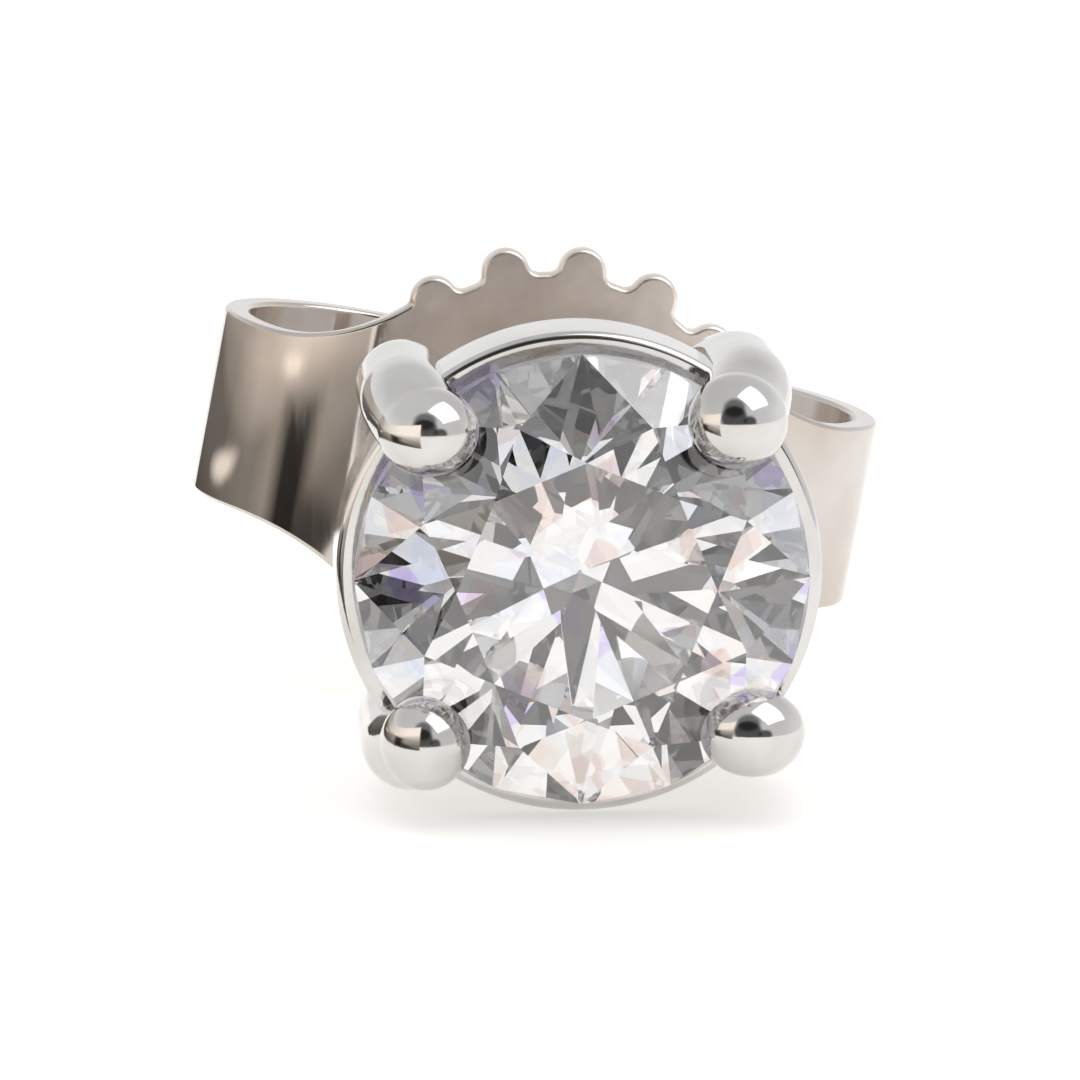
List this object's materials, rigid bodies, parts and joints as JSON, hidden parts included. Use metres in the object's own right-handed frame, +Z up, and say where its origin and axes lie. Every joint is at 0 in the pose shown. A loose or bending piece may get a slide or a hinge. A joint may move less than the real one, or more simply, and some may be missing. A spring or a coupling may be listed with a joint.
{
  "type": "stud earring",
  "caption": "Stud earring: round brilliant stone in a four-prong basket on a straight post, with a scalloped butterfly back that slides on the post.",
  "frame": {"origin": "middle of the earring's outline on the surface that it lies on", "axes": "+Z up, the post level along Y, the stone facing -Y, the post's free end towards +Y"},
  "size_m": [0.0066, 0.0136, 0.0044],
  "materials": {
    "white_gold": "polished, rhodium-plated white gold",
    "back_gold": "polished white gold with a warm tone",
    "diamond": "polished facets"
  },
  "bodies": {
    "stud": {"setting": "white_gold", "stone": "diamond"},
    "back": {"butterfly_back": "back_gold"}
  },
  "joints": [
    {"name": "back_slide", "type": "slide", "parent": "stud", "child": "back", "axis": [0, 1, 0], "range_m": [-0.0019, 0.0079]}
  ]
}
